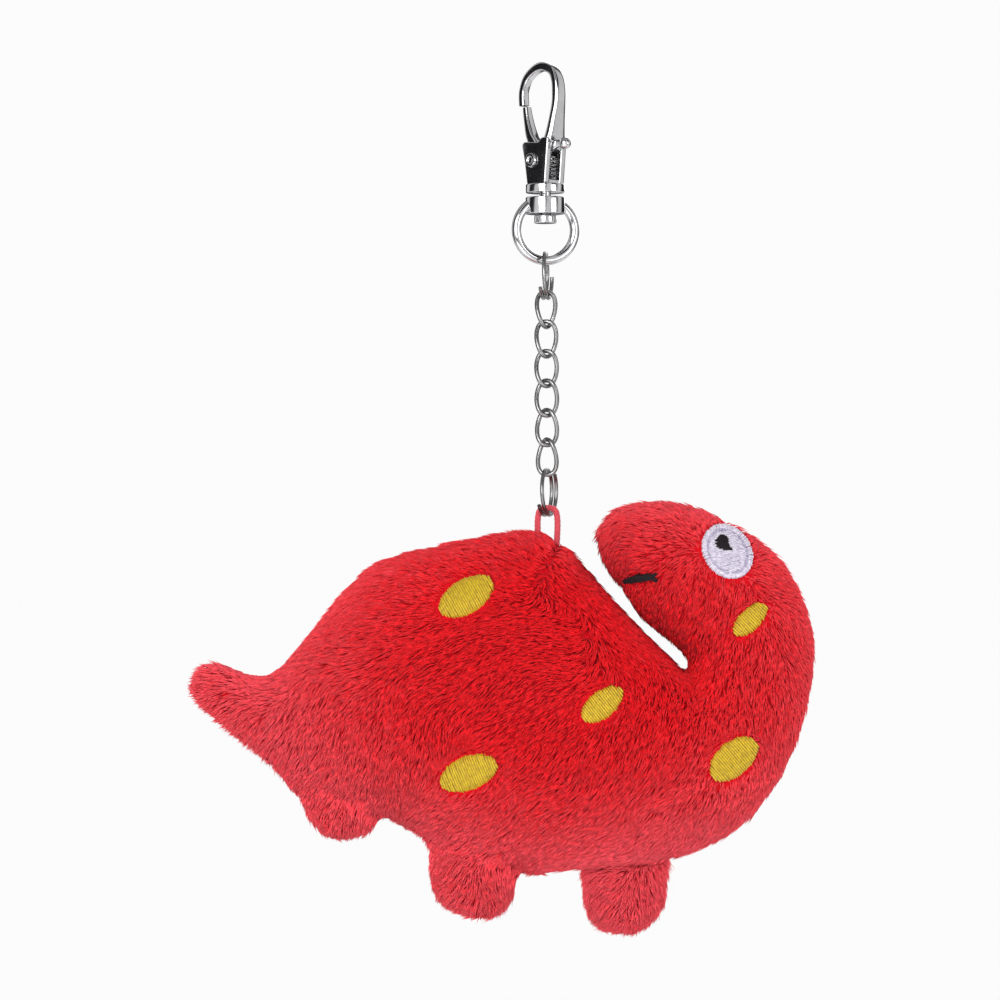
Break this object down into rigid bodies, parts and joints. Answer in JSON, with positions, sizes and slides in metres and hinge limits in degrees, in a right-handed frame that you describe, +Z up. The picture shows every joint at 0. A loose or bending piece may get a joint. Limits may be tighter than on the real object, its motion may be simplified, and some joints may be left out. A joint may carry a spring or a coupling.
{
  "type": "plush keychain",
  "caption": "Stuffed plush dinosaur on a short curb chain, hung from a swivelling trigger snap hook.",
  "frame": {"origin": "the point inside the hook's crown that rests on whatever the hook hangs from, with everything below hanging plumb", "axes": "+Z up, along the hanging chain; +X towards the dinosaur's chest; the embroidered front face looks towards -Y"},
  "size_m": [0.1227, 0.0294, 0.1741],
  "materials": {
    "nickel_plate": "polished",
    "dark_steel": "satin",
    "red_cord": "matte",
    "red_pile": "matte",
    "fibre_filling": "matte",
    "yellow_thread": "satin",
    "white_thread": "satin",
    "black_thread": "satin"
  },
  "bodies": {
    "clasp": {"clasp_hook": "nickel_plate", "lever_pivot_pin": "nickel_plate", "lever_spring": "dark_steel", "swivel_stem": "nickel_plate"},
    "gate": {"gate_lever": "nickel_plate"},
    "swivel": {"swivel_ring": "nickel_plate"},
    "upper_ring": {"upper_jump_ring": "dark_steel"},
    "link_1": {"chain_link_1": "dark_steel"},
    "link_2": {"chain_link_2": "dark_steel"},
    "link_3": {"chain_link_3": "dark_steel"},
    "link_4": {"chain_link_4": "dark_steel"},
    "link_5": {"chain_link_5": "dark_steel"},
    "link_6": {"chain_link_6": "dark_steel"},
    "lower_ring": {"lower_jump_ring": "dark_steel"},
    "plush": {"fabric_loop": "red_cord", "front_panel": "red_pile", "back_panel": "red_pile", "foreleg_front_panel": "red_pile", "foreleg_back_panel": "red_pile", "body_filling": "fibre_filling", "foreleg_filling": "fibre_filling", "front_spot_1": "yellow_thread", "front_spot_2": "yellow_thread", "front_spot_3": "yellow_thread", "front_spot_4": "yellow_thread", "front_spot_5": "yellow_thread", "front_eye_white": "white_thread", "front_pupil": "black_thread", "front_mouth": "black_thread", "back_spot_1": "yellow_thread", "back_spot_2": "yellow_thread", "back_spot_3": "yellow_thread", "back_spot_4": "yellow_thread", "back_spot_5": "yellow_thread", "back_eye_white": "white_thread", "back_pupil": "black_thread", "back_mouth": "black_thread"}
  },
  "joints": [
    {"name": "gate_hinge", "type": "hinge", "parent": "clasp", "child": "gate", "pos_m": [-0.00071, 0.00071, -0.0179], "axis": [0.7071, 0.7071, 0], "range_deg": [0, 30], "stiffness_Nm_per_rad": 0.03, "springref_deg": -11.46, "deforming": ["lever_spring"]},
    {"name": "swivel_spin", "type": "hinge", "parent": "clasp", "child": "swivel", "pos_m": [0, 0, -0.0268], "axis": [0, 0, 1], "continuous": true},
    {"name": "upper_ring_swing", "type": "hinge", "parent": "swivel", "child": "upper_ring", "pos_m": [0, 0, -0.03785], "axis": [0.9563, 0.2924, 0], "range_deg": [-35, 35]},
    {"name": "link_1_swing", "type": "hinge", "parent": "upper_ring", "child": "link_1", "pos_m": [0, 0, -0.04537], "axis": [0.1392, 0.9903, 0], "range_deg": [-28, 28]},
    {"name": "link_2_swing", "type": "hinge", "parent": "link_1", "child": "link_2", "pos_m": [0, 0, -0.05008], "axis": [-0.9781, 0.2079, 0], "range_deg": [-30, 30]},
    {"name": "link_3_swing", "type": "hinge", "parent": "link_2", "child": "link_3", "pos_m": [0, 0, -0.05708], "axis": [-0.6691, -0.7431, 0], "range_deg": [-30, 30]},
    {"name": "link_4_swing", "type": "hinge", "parent": "link_3", "child": "link_4", "pos_m": [0, 0, -0.06187], "axis": [0.809, -0.5878, 0], "range_deg": [-30, 30]},
    {"name": "link_5_swing", "type": "hinge", "parent": "link_4", "child": "link_5", "pos_m": [0, 0, -0.06888], "axis": [-0.9135, -0.4067, 0], "range_deg": [-30, 30]},
    {"name": "link_6_swing", "type": "hinge", "parent": "link_5", "child": "link_6", "pos_m": [0, 0, -0.07368], "axis": [-0.5, 0.866, 0], "range_deg": [-30, 30]},
    {"name": "lower_ring_swing", "type": "hinge", "parent": "link_6", "child": "lower_ring", "pos_m": [0, 0, -0.08067], "axis": [1, 0, 0], "range_deg": [-30, 30]},
    {"name": "plush_swing", "type": "hinge", "parent": "lower_ring", "child": "plush", "pos_m": [0, 0, -0.08872], "axis": [-0.2756, -0.9613, 0], "range_deg": [-25, 25]}
  ]
}
